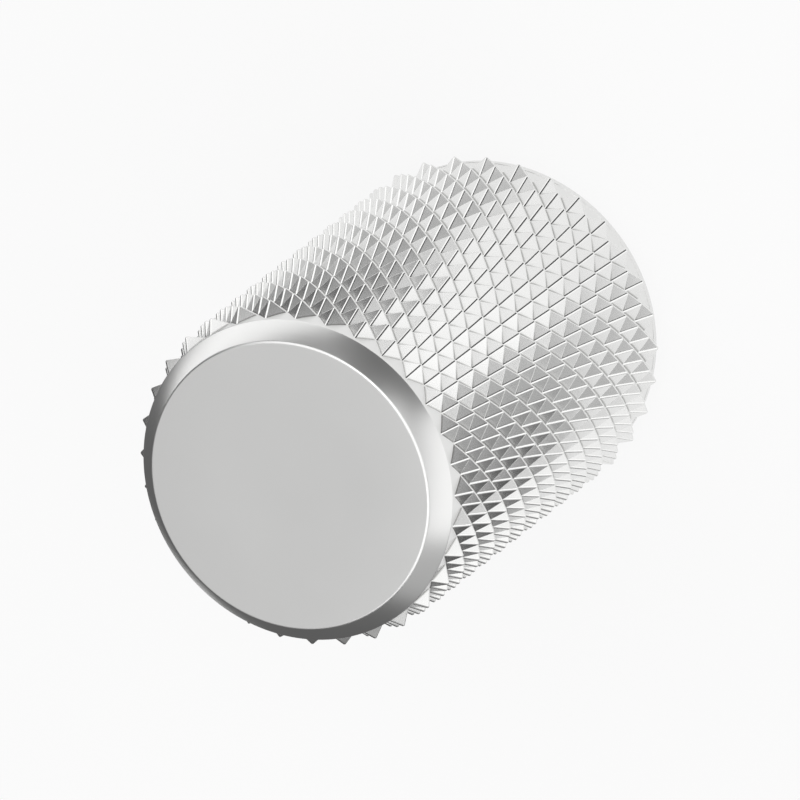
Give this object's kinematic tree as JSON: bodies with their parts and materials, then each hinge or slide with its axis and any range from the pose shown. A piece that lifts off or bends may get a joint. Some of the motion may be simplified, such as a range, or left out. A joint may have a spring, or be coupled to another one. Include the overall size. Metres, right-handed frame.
{
  "type": "cabinet knob",
  "caption": "Cylindrical knurled metal cabinet knob with a chamfered flat front face and a tapped blind hole in its rear face for one fixing screw.",
  "frame": {"origin": "centre of the rear face, which is drawn up against the drawer or door front", "axes": "+Z along the knob's axis from the rear face to the front face; +X passes through a column of knurl points"},
  "size_m": [0.018, 0.018, 0.0262],
  "materials": {
    "knob_metal": "satin"
  },
  "bodies": {
    "root": {"knob": "knob_metal"}
  },
  "joints": []
}
